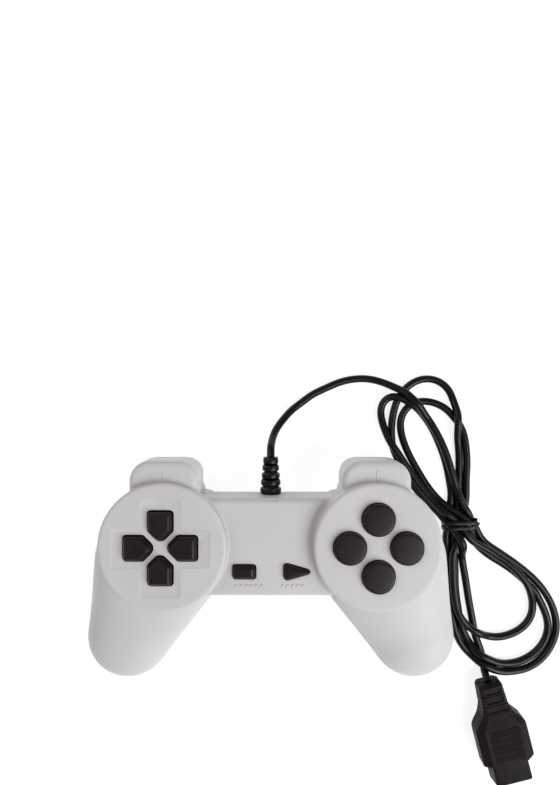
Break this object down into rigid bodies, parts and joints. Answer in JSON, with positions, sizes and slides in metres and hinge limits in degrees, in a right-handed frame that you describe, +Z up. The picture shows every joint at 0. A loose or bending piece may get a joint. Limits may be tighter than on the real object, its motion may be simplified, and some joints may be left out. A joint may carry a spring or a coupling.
{
  "type": "wired game controller",
  "caption": "Two-handed wired game controller with tapering grips, raised round pods, a direction pad, round buttons and a tied lead ending in a moulded plug.",
  "frame": {"origin": "on the table under the middle of the housing, at the centre of the housing's own outline; the lead, its hank and the plug don't count", "axes": "+X to the player's right (the round face buttons' side), +Y away from the player (the side the lead leaves), +Z up out of the buttons"},
  "size_m": [0.1992, 0.1727, 0.0365],
  "materials": {
    "housing": "light cool-grey moulded ABS with a fine satin texture",
    "keycap": "near-black satin moulded plastic with softly rounded edges",
    "rubber": "grey silicone",
    "carbon": "black conductive rubber",
    "nylon": "natural nylon",
    "board": "tan phenolic circuit board",
    "epoxy": "black epoxy",
    "component": "coated electronic component",
    "steel": "zinc-plated steel",
    "brass": "gold-coloured contact",
    "jacket": "black flexible cable jacket, half gloss",
    "tie": "black plastic-covered wire twist tie",
    "plug": "brown-black moulded plug with finger ridges",
    "wire_red": "red wire insulation",
    "wire_yellow": "yellow wire insulation",
    "wire_white": "white wire insulation",
    "wire_green": "green wire insulation",
    "wire_brown": "brown wire insulation"
  },
  "bodies": {
    "housing": {"top_shell": "housing", "bottom_shell": "housing", "main_board": "board", "chip_blob": "epoxy", "capacitor": "component", "resistor_1": "component", "resistor_2": "component", "strain_relief": "jacket", "lead_stub": "jacket", "lead_run": "jacket", "lead_hank": "jacket", "lead_tail": "jacket", "hank_tie": "tie", "plug_body": "plug", "plug_nose": "plug", "pad_membrane": "rubber", "face_membrane": "rubber", "option_membrane": "rubber", "case_screw_1": "steel", "case_screw_2": "steel", "case_screw_3": "steel", "case_screw_4": "steel", "case_screw_5": "steel", "case_screw_6": "steel", "board_screw_1": "steel", "board_screw_2": "steel", "plug_contact_1": "brass", "plug_contact_2": "brass", "plug_contact_3": "brass", "plug_contact_4": "brass", "plug_contact_5": "brass", "wire_red": "wire_red", "wire_yellow": "wire_yellow", "wire_white": "wire_white", "wire_green": "wire_green", "wire_brown": "wire_brown"},
    "pad_pivot": {"pad_pivot_ball": "nylon"},
    "direction_pad": {"direction_pad": "keycap", "pad_pill_right": "carbon", "pad_pill_rear": "carbon", "pad_pill_left": "carbon", "pad_pill_front": "carbon"},
    "face_button_right": {"face_button_right": "keycap", "face_pill_right": "carbon"},
    "face_button_rear": {"face_button_rear": "keycap", "face_pill_rear": "carbon"},
    "face_button_left": {"face_button_left": "keycap", "face_pill_left": "carbon"},
    "face_button_front": {"face_button_front": "keycap", "face_pill_front": "carbon"},
    "select_button": {"select_button": "keycap", "select_pill": "carbon"},
    "start_button": {"start_button": "keycap", "start_pill": "carbon"}
  },
  "joints": [
    {"name": "pad_rock_front_rear", "type": "hinge", "parent": "housing", "child": "pad_pivot", "pos_m": [-0.0415, 0.0122, 0.03], "axis": [1, 0, 0], "range_deg": [-5, 5], "stiffness_Nm_per_rad": 0.12, "deforming": ["pad_membrane"]},
    {"name": "pad_rock_left_right", "type": "hinge", "parent": "pad_pivot", "child": "direction_pad", "pos_m": [-0.0415, 0.0122, 0.03], "axis": [0, 1, 0], "range_deg": [-5, 5], "stiffness_Nm_per_rad": 0.12, "deforming": ["pad_membrane"]},
    {"name": "face_button_right_press", "type": "slide", "parent": "housing", "child": "face_button_right", "axis": [0, 0, -1], "range_m": [0, 0.0015], "stiffness_N_per_m": 600, "deforming": ["face_membrane"]},
    {"name": "face_button_rear_press", "type": "slide", "parent": "housing", "child": "face_button_rear", "axis": [0, 0, -1], "range_m": [0, 0.0015], "stiffness_N_per_m": 600, "deforming": ["face_membrane"]},
    {"name": "face_button_left_press", "type": "slide", "parent": "housing", "child": "face_button_left", "axis": [0, 0, -1], "range_m": [0, 0.0015], "stiffness_N_per_m": 600, "deforming": ["face_membrane"]},
    {"name": "face_button_front_press", "type": "slide", "parent": "housing", "child": "face_button_front", "axis": [0, 0, -1], "range_m": [0, 0.0015], "stiffness_N_per_m": 600, "deforming": ["face_membrane"]},
    {"name": "select_button_press", "type": "slide", "parent": "housing", "child": "select_button", "axis": [0, 0, -1], "range_m": [0, 0.0012], "stiffness_N_per_m": 600, "deforming": ["option_membrane"]},
    {"name": "start_button_press", "type": "slide", "parent": "housing", "child": "start_button", "axis": [0, 0, -1], "range_m": [0, 0.0012], "stiffness_N_per_m": 600, "deforming": ["option_membrane"]}
  ]
}
